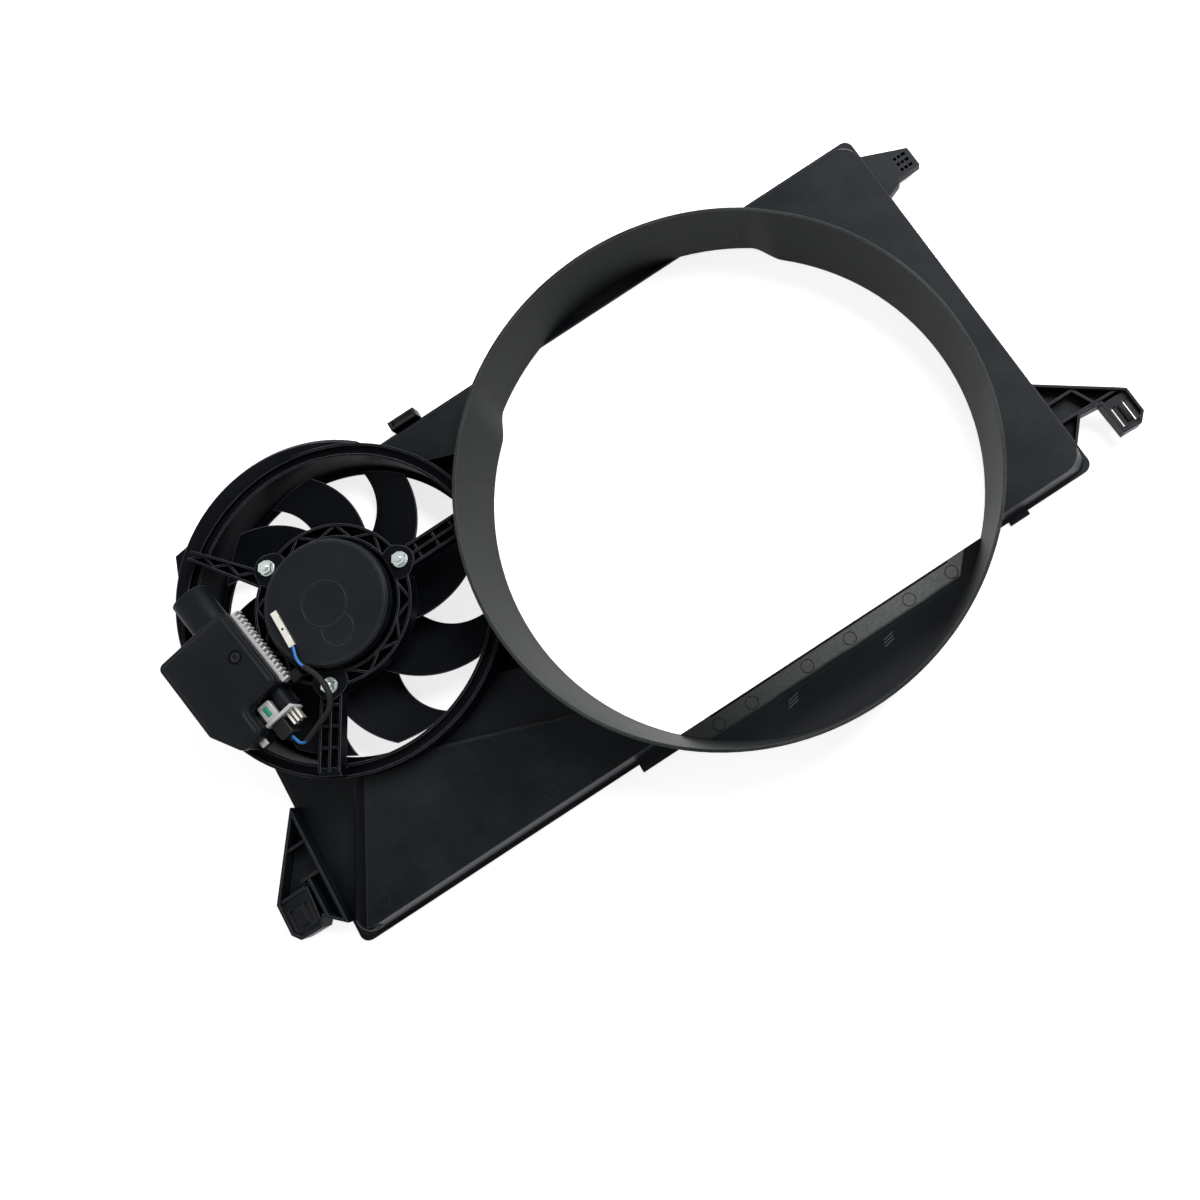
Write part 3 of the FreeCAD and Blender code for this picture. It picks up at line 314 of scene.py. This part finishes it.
# The edge colour is a painted highlight along edges; the last colour is painted shade in pockets.
def plastic(name, dark, light, rough, grain=1500.0, bump=0.06, dust=0.06, scuff=0.3, specular=0.15,
            edge=(0.06, 0.064, 0.07), painted_pocket_shade=(0.0022, 0.0024, 0.003)):
    """Moulded plastic: flow tone, fine grain, painted shade in pockets, a painted highlight on edges, light
    scuffs and a little dust.
    """
    material, tree, shader = new_material(name)
    surface = use_group(tree, SURFACE, Grain_Scale=grain, Scuff=scuff)
    film = use_group(tree, DUST, Amount=dust)
    edges = use_group(tree, EDGES, Radius=PLASTIC_EDGE_RADIUS)
    colour = mix_colour(tree, surface.outputs["Tone"], dark, light)
    # Painted shade in pockets, then dust, then a painted highlight along edges, over the plastic's own tone.
    shaded = mix_colour(tree, edges.outputs["Painted Shade"], colour, painted_pocket_shade)
    dusty = mix_colour(tree, film.outputs["Mask"], shaded, DUST_TONE)
    link(tree, mix_colour(tree, edges.outputs["Edge"], dusty, edge), shader.inputs["Base Color"])
    base = spread(tree, surface.outputs["Tone"], 0.0, 1.0, rough - ROUGHNESS_PLAY, rough + ROUGHNESS_PLAY)
    worn = math_node(tree, "SUBTRACT", base, surface.outputs["Gloss"], True)
    dull = product(tree, film.outputs["Mask"], DUST_ROUGHNESS)
    link(tree, math_node(tree, "ADD", worn, dull, True), shader.inputs["Roughness"])
    finish_relief(tree, shader, surface.outputs["Height"], bump, PLASTIC_RELIEF, edges.outputs["Normal"])
    shader.inputs["Specular IOR Level"].default_value = specular
    return material


def metal(name, dark, light, rough, metallic=1.0, edge=(0.9, 0.9, 0.88)):
    """Bare or plated metal with fine streaks, a painted highlight on its edges and uneven gloss."""
    material, tree, shader = new_material(name)
    surface = use_group(tree, SURFACE, Grain_Scale=METAL_GRAIN, Flow_Scale=METAL_FLOW, Scuff=METAL_SCUFF)
    edges = use_group(tree, EDGES, Radius=METAL_EDGE_RADIUS)
    colour = mix_colour(tree, surface.outputs["Tone"], dark, light)
    # Painted highlight along the edges.
    link(tree, mix_colour(tree, edges.outputs["Edge"], colour, edge), shader.inputs["Base Color"])
    base = spread(tree, surface.outputs["Tone"], 0.0, 1.0, rough + 0.08, rough - 0.06)
    link(tree, math_node(tree, "SUBTRACT", base, surface.outputs["Gloss"], True), shader.inputs["Roughness"])
    shader.inputs["Metallic"].default_value = metallic
    finish_relief(tree, shader, surface.outputs["Height"], METAL_RELIEF_STRENGTH, METAL_RELIEF,
                  edges.outputs["Normal"])
    return material


def ledge_and_slope(name):
    """The scoop's finish: a ledge painted paler as painted light, growing towards the end where it is cut off
    slantwise, above a dark slope.
    """
    ledge_painted_light = (0.13, 0.137, 0.13)
    ledge_edge = place(0.0, -216.0, 0.0).y
    edge_blur = 3 * MM
    cut = place(243.0, -206.0, 0.0)
    cut_slope = 0.9
    cut_start = cut.x - cut_slope * cut.y
    faint_end = place(-30.0, 0.0, 0.0).x
    full_end = place(180.0, 0.0, 0.0).x
    material = plastic(name, (0.0026, 0.0032, 0.0046), (0.0050, 0.0058, 0.0076), 0.34, dust=0.02, scuff=0.35,
                       edge=(0.02, 0.022, 0.024), specular=0.05)
    tree = material.node_tree
    shader = tree.nodes["Principled BSDF"]
    moulded = shader.inputs["Base Color"].links[0].from_socket
    where = node(tree, "ShaderNodeTexCoord").outputs["Object"]
    parts = split_vector(tree, where)
    wobble = product(tree, noise(tree, where, 40.0, 3.0), edge_blur)
    ledge = spread(tree, math_node(tree, "ADD", parts["Y"], wobble), ledge_edge, ledge_edge + edge_blur)
    slant = math_node(tree, "ADD", parts["X"], product(tree, parts["Y"], -cut_slope))
    before_cut = spread(tree, slant, cut_start, cut_start + MM, 1.0, 0.0)
    painted_light_rise = spread(tree, parts["X"], faint_end, full_end, 0.15, 1.0)
    speckle = spread(tree, noise(tree, where, 420.0, 4.0, 0.75), 0.3, 0.7, 0.55, 1.0)
    # Painted light on the ledge: only on it, before the slanted cut, rising along it and speckled.
    share = product(tree, ledge, before_cut, painted_light_rise, speckle, clamp=True)
    link(tree, mix_colour(tree, share, moulded, ledge_painted_light), shader.inputs["Base Color"])
    return material


# For each slot: darker tone, lighter tone and roughness; an edge colour is a painted highlight along edges,
# and the colour for pockets is painted shade
finishes = {
    "shroud_plastic": plastic("shroud_black", (0.0040, 0.0054, 0.0078), (0.0066, 0.0083, 0.0110), 0.38,
                              specular=0.065),
    "fan_plastic": plastic("fan_black", (0.0012, 0.0017, 0.0032), (0.0024, 0.0031, 0.0050), 0.44, dust=0.02,
                           specular=0.03, edge=(0.085, 0.09, 0.1)),
    "module_plastic": plastic("module_black", (0.0034, 0.0045, 0.0066), (0.0054, 0.0068, 0.0092), 0.44,
                              grain=900.0, bump=0.12, dust=0.03, specular=0.08),
    "pale_plastic": plastic("plug_grey", (0.42, 0.43, 0.42), (0.6, 0.61, 0.6), 0.45, dust=0.02,
                            edge=(0.75, 0.76, 0.75), painted_pocket_shade=(0.12, 0.12, 0.12)),
    "green_plastic": plastic("lock_green", (0.01, 0.2, 0.1), (0.02, 0.36, 0.2), 0.4, dust=0.02,
                             edge=(0.1, 0.5, 0.32), painted_pocket_shade=(0.005, 0.06, 0.03)),
    "boot_rubber": plastic("boot_black", (0.0035, 0.0035, 0.0042), (0.0072, 0.0072, 0.0082), 0.55,
                           grain=2200.0),
    "lead_cover": plastic("lead_blue", (0.02, 0.12, 0.38), (0.05, 0.22, 0.6), 0.42, dust=0.02,
                          edge=(0.1, 0.3, 0.65), painted_pocket_shade=(0.01, 0.05, 0.15)),
    "coated_steel": plastic("cap_coating", (0.0050, 0.0062, 0.0086), (0.0072, 0.0088, 0.0116), 0.4,
                            grain=2600.0, bump=0.05, dust=0.03, specular=0.1, edge=(0.05, 0.054, 0.06)),
    "bright_steel": metal("zinc_plate", (0.40, 0.45, 0.45), (0.62, 0.67, 0.65), 0.26, metallic=0.9,
                          edge=(0.75, 0.78, 0.76)),
    "laminations": metal("core_sheet", (0.16, 0.16, 0.16), (0.3, 0.3, 0.3), 0.45, edge=(0.4, 0.4, 0.4)),
    "copper": metal("winding_copper", (0.5, 0.2, 0.1), (0.78, 0.4, 0.24), 0.35, edge=(0.85, 0.5, 0.32)),
    "bronze": metal("tinned_bronze", (0.6, 0.57, 0.5), (0.82, 0.8, 0.73), 0.35, metallic=0.7),
    "ferrite": plastic("pressed_powder", (0.03, 0.03, 0.03), (0.05, 0.05, 0.05), 0.7),
    "board": plastic("board_resin", (0.02, 0.07, 0.03), (0.03, 0.11, 0.05), 0.4),
    "heat_sink_metal": metal("cast_heat_sink", (0.6, 0.61, 0.6), (0.84, 0.85, 0.83), 0.45, metallic=0.55),
}

# The ring is paler than the panels, and the scoop's ledge is painted paler as painted light
paler_ring_plastic = plastic("shroud_paler_ring", (0.0105, 0.0120, 0.0128), (0.0170, 0.0188, 0.0190), 0.45, dust=0.2,
                specular=0.05, edge=(0.075, 0.08, 0.08))
scoop_finish = ledge_and_slope("scoop_black")
# Painted highlight: pale beads on edges, ribs and rims that stand for the light they catch.
highlight_line = plastic("painted_edge_highlight", (0.03, 0.033, 0.036), (0.045, 0.049, 0.052), 0.4, edge=(0.06, 0.065, 0.07))
# Painted shade: dark beads and rings for the shade in grooves and creases.
mark_shade = plastic("mark_shade", (0.002, 0.002, 0.003), (0.004, 0.004, 0.005), 0.5, dust=0.0,
                     specular=0.02, edge=(0.004, 0.004, 0.005))
own_finish = {"large_fan_ring": paler_ring_plastic, "lower_scoop": scoop_finish}

for name, slot in slot_of.items():
    mesh = nodes[name].data
    mesh.materials.clear()
    mesh.materials.append(own_finish.get(name, finishes[slot]))


# Helpers for small moulded detail
def surface_of(*names):
    """A search tree over CAD nodes, to set details on their faces."""
    joined = bmesh.new()
    for name in names:
        joined.from_mesh(nodes[name].data)
    found = BVHTree.FromBMesh(joined)
    joined.free()
    return found


def drop(tree, x, y):
    """The highest point of the searched nodes at a plan place, in the scene's metres."""
    above_all = 200.0
    hit = tree.ray_cast(place(x, y, above_all), Vector((0.0, 0.0, -1.0)))
    return hit[0]


def add_piece(name, mesh, material, body):
    """A piece of the visual model, riding on a body and holding a material slot."""
    piece = add_object(name, mesh)
    mesh.materials.clear()
    mesh.materials.append(material)
    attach(piece, body)
    return piece


def plain_mesh(shaper, name):
    """The evaluated shape of a helper object as a smooth plain mesh. The helper goes."""
    depsgraph = bpy.context.evaluated_depsgraph_get()
    mesh = bpy.data.meshes.new_from_object(shaper.evaluated_get(depsgraph))
    bpy.data.objects.remove(shaper)
    mesh.name = name
    mesh.shade_smooth()
    return mesh


def mesh_of(made, name):
    """A mesh from a bmesh, which is freed."""
    mesh = bpy.data.meshes.new(name)
    made.to_mesh(mesh)
    made.free()
    return mesh


def close_skin(made, rows):
    """Quads between neighbouring rows of vertices and a cap at each end."""
    for near, far in zip(rows, rows[1:]):
        for k in range(len(near)):
            after = (k + 1) % len(near)
            made.faces.new((near[k], near[after], far[after], far[k]))
    made.faces.new(list(reversed(rows[0])))
    made.faces.new(rows[-1])


def bead(name, runs, radius, material, closed=False):
    """Low rounded ridges along paths of points that lie on a face."""
    curve = bpy.data.curves.new(name + "_path", "CURVE")
    curve.dimensions = "3D"
    curve.bevel_depth = radius * MM
    curve.bevel_resolution = 2
    curve.use_fill_caps = True
    for points in runs:
        spline = curve.splines.new("POLY")
        spline.points.add(len(points) - 1)
        spline.use_cyclic_u = closed
        for target, point in zip(spline.points, points):
            target.co = (*point, 1.0)
    mesh = plain_mesh(add_object(name + "_shaper", curve), name)
    return add_piece(name, mesh, material, "shroud")


def circle_node(group, resolution, radius):
    """A curve circle whose radius comes from a socket."""
    circle = node(group, "GeometryNodeCurvePrimitiveCircle")
    circle.inputs["Resolution"].default_value = resolution
    link(group, radius, circle.inputs["Radius"])
    return circle.outputs["Curve"]


def repeat_rings(name, points, radius, thick, material):
    """The same small ring at every point, made with geometry nodes and realised."""
    around = 28
    section = 6
    group = bpy.data.node_groups.new(name + "_repeat", "GeometryNodeTree")
    group.interface.new_socket("Geometry", in_out="INPUT", socket_type="NodeSocketGeometry")
    sizes = {}
    for label, value in (("Ring Radius", radius * MM), ("Ring Thickness", thick * MM)):
        socket = group.interface.new_socket(label, in_out="INPUT", socket_type="NodeSocketFloat")
        sizes[socket.identifier] = value
    group.interface.new_socket("Geometry", in_out="OUTPUT", socket_type="NodeSocketGeometry")
    source = node(group, "NodeGroupInput")
    sink = node(group, "NodeGroupOutput")
    ring = node(group, "GeometryNodeCurveToMesh")
    link(group, circle_node(group, around, source.outputs["Ring Radius"]), ring.inputs["Curve"])
    link(group, circle_node(group, section, source.outputs["Ring Thickness"]), ring.inputs["Profile Curve"])
    copies = node(group, "GeometryNodeInstanceOnPoints")
    real = node(group, "GeometryNodeRealizeInstances")
    painted = node(group, "GeometryNodeSetMaterial")
    painted.inputs["Material"].default_value = material
    link(group, source.outputs["Geometry"], copies.inputs["Points"])
    link(group, ring.outputs["Mesh"], copies.inputs["Instance"])
    link(group, copies.outputs["Instances"], real.inputs["Geometry"])
    link(group, real.outputs["Geometry"], painted.inputs["Geometry"])
    link(group, painted.outputs["Geometry"], sink.inputs["Geometry"])
    seeds = bpy.data.meshes.new(name + "_seeds")
    seeds.from_pydata([tuple(point) for point in points], [], [])
    shaper = add_object(name + "_shaper", seeds)
    repeat = shaper.modifiers.new("repeat", "NODES")
    repeat.node_group = group
    for identifier, value in sizes.items():
        repeat[identifier] = value
    return add_piece(name, plain_mesh(shaper, name), material, "shroud")


def rounded_outline(points, radius):
    """A plan outline with every corner rounded, as plan points in order."""
    corner_steps = 6
    rounded = []
    count = len(points)
    for i in range(count):
        before = Vector(points[i - 1])
        here = Vector(points[i])
        after = Vector(points[(i + 1) % count])
        to_before = (before - here).normalized()
        to_after = (after - here).normalized()
        half = to_before.angle(to_after) / 2
        back_off = radius / math.tan(half)
        start = here + to_before * back_off
        end = here + to_after * back_off
        middle = here + (to_before + to_after).normalized() * (radius / math.sin(half))
        first = start - middle
        turn = first.angle_signed(end - middle)
        for k in range(corner_steps + 1):
            rounded.append(middle + Matrix.Rotation(-turn * k / corner_steps, 2) @ first)
    return rounded


def inset_outline(outline, depth):
    """The same outline moved inwards, point by point along its own normals."""
    moved = []
    count = len(outline)
    for i in range(count):
        run = outline[(i + 1) % count] - outline[i - 1]
        inward = Vector((-run.y, run.x)).normalized()
        moved.append(outline[i] + inward * depth)
    return moved


def moulded_block(name, points, radius, levels, where, material):
    """A closed block with rounded corners, drawn anticlockwise, as levels of inset and height."""
    weld = 0.01 * MM
    sharp_angle = math.radians(40.0)
    outline = rounded_outline(points, radius)
    made = bmesh.new()
    rows = []
    for depth, height in levels:
        inset = inset_outline(outline, depth)
        rows.append([made.verts.new(where(point.x, point.y, height)) for point in inset])
    close_skin(made, rows)
    bmesh.ops.remove_doubles(made, verts=made.verts, dist=weld)
    bmesh.ops.recalc_face_normals(made, faces=made.faces)
    mesh = mesh_of(made, name)
    mesh.shade_smooth()
    mesh.set_sharp_from_angle(angle=sharp_angle)
    return add_piece(name, mesh, material, "shroud")


def box_plan(low_x, high_x, low_y, high_y):
    """The corners of a rectangle, anticlockwise."""
    return [(low_x, low_y), (high_x, low_y), (high_x, high_y), (low_x, high_y)]


# Detail of the control module and the motor
def soften(name, edge):
    """A copy of a CAD piece whose edges are rounded, in the piece's place."""
    weld = 0.02 * MM
    flat_angle = math.radians(1.0)
    shortest_edge = 0.8 * MM
    edge_angle = math.radians(35.0)
    sharp_angle = math.radians(38.0)
    source = nodes[name]
    work = bmesh.new()
    work.from_mesh(source.data)
    bmesh.ops.remove_doubles(work, verts=work.verts, dist=weld)
    bmesh.ops.dissolve_limit(work, angle_limit=flat_angle, verts=work.verts, edges=work.edges)
    rims = []
    for found in work.edges:
        if len(found.link_faces) != 2 or not found.is_convex or found.calc_length() < shortest_edge:
            continue
        if found.calc_face_angle() > edge_angle:
            rims.append(found)
    bmesh.ops.bevel(work, geom=rims, offset=edge * MM, segments=3, profile=0.5, affect="EDGES",
                    clamp_overlap=True)
    mesh = mesh_of(work, name + "_softened")
    mesh.shade_smooth()
    mesh.set_sharp_from_angle(angle=sharp_angle)
    piece = add_piece(name + "_softened", mesh, source.data.materials[0], "shroud")
    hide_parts(name)


def module_cover_block():
    """The control module's cover: rounded corners and a raised top inside a shoulder."""
    corner = 6.0
    plan = [(-34.0, -36.0), (-19.0, -66.0), (5.0, -66.0), (5.0, -40.0), (41.0, -40.0), (41.0, 45.0),
            (-34.0, 45.0)]
    levels = ((0.4, 76.0), (0.0, 76.5), (0.0, 84.6), (0.25, 85.4), (0.9, 86.1), (1.8, 86.4), (3.4, 86.5),
              (3.9, 86.8), (4.2, 87.4), (4.8, 87.85), (5.6, MODULE_TOP))
    cover = moulded_block("cover_moulding", plan, corner, levels, in_module, finishes["module_plastic"])
    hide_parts("module_cover")
    boss = in_module(26.0, 2.0, MODULE_TOP)
    # A dark ring of painted shade round the boss and a pale ring of painted highlight on its rim.
    for name, radius, thick, finish in (
            ("cover_boss_shade", 5.6, 0.65, mark_shade), ("cover_boss_rim_highlight", 3.2, 0.4, highlight_line)):
        repeat_rings(name, [boss], radius, thick, finish)


def side_catch():
    """The dark catch beside the heat sink."""
    corner = 1.5
    levels = ((0.0, 59.0), (0.0, 70.5), (0.4, 71.4), (1.2, 71.8))
    moulded_block("side_catch", box_plan(45.5, 56.5, -45.5, -35.5), corner, levels, in_module,
                  finishes["boot_rubber"])


def cap_details():
    """The motor cap's rolled rim, a ring with round section on its flat top."""
    rim_radius = 53.4
    rim_height = CAP_TOP - 0.05
    turns = 72
    rim = [around_fan(rim_radius, 2 * math.pi * i / turns, rim_height) for i in range(turns)]
    bead("cap_rim", [rim], 0.35, finishes["coated_steel"], True)


def thread_details():
    """Threads on the ends of the motor studs."""
    stud_circle = 72.0
    thread_radius = 2.95
    thread_thick = 0.22
    points = []
    for angle in (0.0, 120.0, 240.0):
        for level in (72.4, 73.0, 73.6):
            points.append(around_fan(stud_circle, math.radians(angle), level))
    repeat_rings("stud_threads", points, thread_radius, thread_thick, finishes["bright_steel"])


# Detail of the brackets
def clip_tongues():
    """Raised spring tongues between the slots of the clip pads."""
    half_long = 8.5
    corner = 1.4
    for name, middle_x, middle_y, half_wide, pad_top in (
            ("right_clip_tongue", 433.0, -177.5, 2.9, 26.0), ("left_clip_tongue", -419.5, -150.0, 4.2, 18.0)):
        plan = box_plan(middle_x - half_wide, middle_x + half_wide, middle_y - half_long, middle_y + half_long)
        levels = ((0.0, pad_top - 0.5), (0.0, pad_top + 1.2), (0.3, pad_top + 1.7), (0.8, pad_top + 1.9))
        moulded_block(name, plan, corner, levels, place, finishes["shroud_plastic"])


def comb_bars():
    """Thin bars that divide the upper bracket's slots into small windows."""
    half_wide = 0.7
    corner = 0.4
    levels = ((0.0, 8.5), (0.0, 15.7), (0.25, 15.95))
    for name, x in (("comb_bar_1", 411.9), ("comb_bar_2", 416.4)):
        moulded_block(name, box_plan(x - half_wide, x + half_wide, 131.2, 148.8), corner, levels, place,
                      finishes["shroud_plastic"])


# Detail of the tray, the ring and the scoop
def straight_run(tree, start, end, steps):
    """Points of the searched nodes under a straight line in the plan."""
    run = []
    for i in range(steps + 1):
        share = i / steps
        run.append(drop(tree, start[0] + (end[0] - start[0]) * share, start[1] + (end[1] - start[1]) * share))
    return run


def step_fillet():
    """The broad rounded side of the raised panel at its step, coloured darker as painted shade, with a pale
    line of painted highlight where the rounding ends.
    """
    crest_foot = Vector((-363.5, -185.2))
    crest_head = Vector((-302.0, -67.0))
    crest_z = 31.95
    foot_z = 6.1
    line_z = 22.5
    line_radius = 0.55
    reach = 13.5
    reach_at_end = 1.0
    corner = 6.0
    straight_steps = 12
    bend_steps = 12
    # Share of the reach and height, once round the section
    section = ((-0.1, foot_z), (-0.1, crest_z), (0.15, crest_z), (0.4, 31.5), (0.6, 30.6), (0.78, 29.2),
               (0.9, 27.3), (0.97, 25.0), (1.0, 22.0), (1.0, foot_z))
    along = (crest_foot - crest_head).normalized()
    outward = Vector((along.y, -along.x))
    centre = crest_foot - outward * corner
    start_angle = math.atan2(outward.y, outward.x) % (2 * math.pi)
    end_angle = math.radians(270.0)
    stations = []
    for i in range(straight_steps + 1):
        stations.append((crest_head.lerp(crest_foot, i / straight_steps), outward, reach))
    for i in range(1, bend_steps + 1):
        share = i / bend_steps
        angle = start_angle + (end_angle - start_angle) * share
        normal = Vector((math.cos(angle), math.sin(angle)))
        stations.append((centre + normal * corner, normal, reach * (1 - share) + reach_at_end * share))
    made = bmesh.new()
    rows = []
    highlight_points = []
    for point, normal, width in stations:
        row = []
        for share, height in section:
            spot = point + normal * (width * share)
            row.append(made.verts.new(place(spot.x, spot.y, height)))
        rows.append(row)
        rounding_end = point + normal * width
        highlight_points.append(place(rounding_end.x, rounding_end.y, line_z))
    close_skin(made, rows)
    bmesh.ops.recalc_face_normals(made, faces=made.faces)
    mesh = mesh_of(made, "step_fillet")
    for face in mesh.polygons:
        face.use_smooth = 0.02 < abs(face.normal.z) < 0.999
    # The fan's darker plastic here is painted shade on the side that faces away from the light.
    add_piece("step_fillet", mesh, finishes["fan_plastic"], "shroud")
    bead("step_highlight_line", [highlight_points], line_radius, highlight_line)


def scoop_details():
    """Ejector marks on the ledge as dark rings of painted shade, two groups of slanted ribs on the slope in
    pale painted highlight, and a dark line of painted shade along the rim.
    """
    scoop = surface_of("lower_scoop")
    marks_y = -209.0
    marks = [drop(scoop, x, marks_y) for x in (230.0, 185.0, 122.0, 77.0, 18.0, -17.0)]
    repeat_rings("ledge_marks", marks, 5.8, 0.3, mark_shade)
    rib_length = 11.0
    rib_rise = 0.2
    rib_gap = 2.8
    rib_offset = 1.2
    runs = []
    for x, y in ((150.0, -229.0), (50.0, -228.0)):
        for step in (-1, 0, 1):
            run = []
            for end in (-0.5, 0.5):
                spot_x = x + rib_length * end + step * rib_offset
                spot_y = y + step * rib_gap + rib_length * end * rib_rise
                run.append(drop(scoop, spot_x, spot_y))
            runs.append(run)
    bead("slope_ribs", runs, 0.6, highlight_line)
    rim_y = -199.4
    bead("ledge_rim_shade", [straight_run(scoop, (-20.0, rim_y), (232.0, rim_y), 30)], 0.7, mark_shade)


def ring_details():
    """Parting lines down the large ring's inner wall."""
    wall = surface_of("large_fan_ring")
    steps = 14
    low_end = 4.0
    length = RING_HEIGHT - 5.0
    runs = []
    for mouth_angle, rear_angle in ((51.8, 56.4), (148.5, 144.1)):
        run = []
        for i in range(steps + 1):
            share = i / steps
            angle = math.radians(rear_angle + (mouth_angle - rear_angle) * share)
            start = place(RING_AXIS_MM.x, RING_AXIS_MM.y, low_end + length * share)
            hit = wall.ray_cast(start, Vector((math.cos(angle), math.sin(angle), 0.0)))
            run.append(hit[0])
        runs.append(run)
    bead("ring_parting", runs, 0.22, paler_ring_plastic)


def panel_details():
    """Low pale lines beside the steps as a painted highlight on their edges, and pale rings of painted
    highlight for round marks near the corners.
    """
    panels = surface_of("left_panel", "right_panel")
    steps = 24
    runs = [straight_run(panels, (-350.0, -193.6), (-82.0, -193.6), steps),
            straight_run(panels, (-238.0, -93.0), (-118.0, -135.9), steps)]
    bead("panel_highlight_lines", runs, 0.3, highlight_line)
    spots = ((-343.0, -180.0), (368.0, -181.0), (-170.0, -181.0), (-85.0, -174.0))
    marks = [drop(panels, *spot) for spot in spots]
    repeat_rings("panel_marks", marks, 6.0, 0.16, highlight_line)


for name, edge in (("plug_body", 0.5), ("power_socket", 0.8)):
    soften(name, edge)
module_cover_block()
side_catch()
clip_tongues()
comb_bars()
step_fillet()
scoop_details()
ring_details()
panel_details()
cap_details()
thread_details()


# Floor, background and lamps
WHITE = (1.0, 1.0, 1.0, 1.0)
FLOOR_REACH = 6.0
FLOOR_GAP = 0.5 * MM
FLOOR_TONE = (0.86, 0.86, 0.86, 1.0)
FLOOR_ROUGHNESS = 0.9
FLOOR_GLOW = 0.78
FILL_TONE = (0.91, 0.96, 1.0, 1.0)
FILL_STRENGTH = 0.19

# Name, place, side length and power
LAMPS = (
    ("lamp_right_far", (1.3, 0.55, 1.4), 1.3, 52.0),
    ("lamp_left", (-1.8, 0.7, 1.3), 1.2, 4.0),
    ("lamp_near", (0.3, -1.9, 1.5), 1.6, 3.0),
)


def background_rays(tree):
    """1 for rays that show the background: from the camera, off metal and gloss, and through glass."""
    path = node(tree, "ShaderNodeLightPath")
    mirrored = math_node(tree, "ADD", path.outputs["Is Camera Ray"], path.outputs["Is Glossy Ray"], True)
    return math_node(tree, "ADD", mirrored, path.outputs["Is Transmission Ray"], True)


def choose_shader(tree, factor, usual, background, output):
    """One shader for light that falls on the part and another for rays that show the background."""
    chosen = node(tree, "ShaderNodeMixShader")
    link(tree, factor, chosen.inputs[0])
    link(tree, usual, chosen.inputs[1])
    link(tree, background, chosen.inputs[2])
    link(tree, chosen.outputs[0], output.inputs["Surface"])


def make_floor():
    """A plain pale floor that looks white."""
    floor_mesh = bpy.data.meshes.new("floor")
    corners = [(x, y, 0.0) for x, y in box_plan(-FLOOR_REACH, FLOOR_REACH, -FLOOR_REACH, FLOOR_REACH)]
    floor_mesh.from_pydata(corners, [], [(0, 1, 2, 3)])
    floor = add_object("floor", floor_mesh)
    floor.location.z = -FLOOR_GAP
    material, tree, shader = new_material("floor_white")
    shader.inputs["Base Color"].default_value = FLOOR_TONE
    shader.inputs["Roughness"].default_value = FLOOR_ROUGHNESS
    glow = node(tree, "ShaderNodeEmission")
    glow.inputs["Color"].default_value = WHITE
    glow.inputs["Strength"].default_value = FLOOR_GLOW
    bright = node(tree, "ShaderNodeAddShader")
    link(tree, shader.outputs[0], bright.inputs[0])
    link(tree, glow.outputs[0], bright.inputs[1])
    choose_shader(tree, background_rays(tree), shader.outputs[0], bright.outputs[0],
                  tree.nodes["Material Output"])
    floor_mesh.materials.append(material)


def make_world():
    """Soft fill light, and plain white where the background is seen."""
    world = bpy.data.worlds.new("studio")
    bpy.context.scene.world = world
    world.use_nodes = True
    tree = world.node_tree
    fill = tree.nodes["Background"]
    fill.inputs["Color"].default_value = FILL_TONE
    fill.inputs["Strength"].default_value = FILL_STRENGTH
    shown = node(tree, "ShaderNodeBackground")
    shown.inputs["Color"].default_value = WHITE
    shown.inputs["Strength"].default_value = 1.0
    choose_shader(tree, background_rays(tree), fill.outputs[0], shown.outputs[0], tree.nodes["World Output"])


def make_lamps():
    """Soft square studio lamps that look at the part."""
    for name, where, size, watts in LAMPS:
        data = bpy.data.lights.new(name, "AREA")
        data.shape = "SQUARE"
        data.size = size
        data.energy = watts
        lamp = add_object(name, data)
        lamp.location = where
        lamp.rotation_euler = (-Vector(where)).to_track_quat("-Z", "Y").to_euler()


make_floor()
make_world()
make_lamps()

view = bpy.context.scene.view_settings
view.view_transform = "Standard"
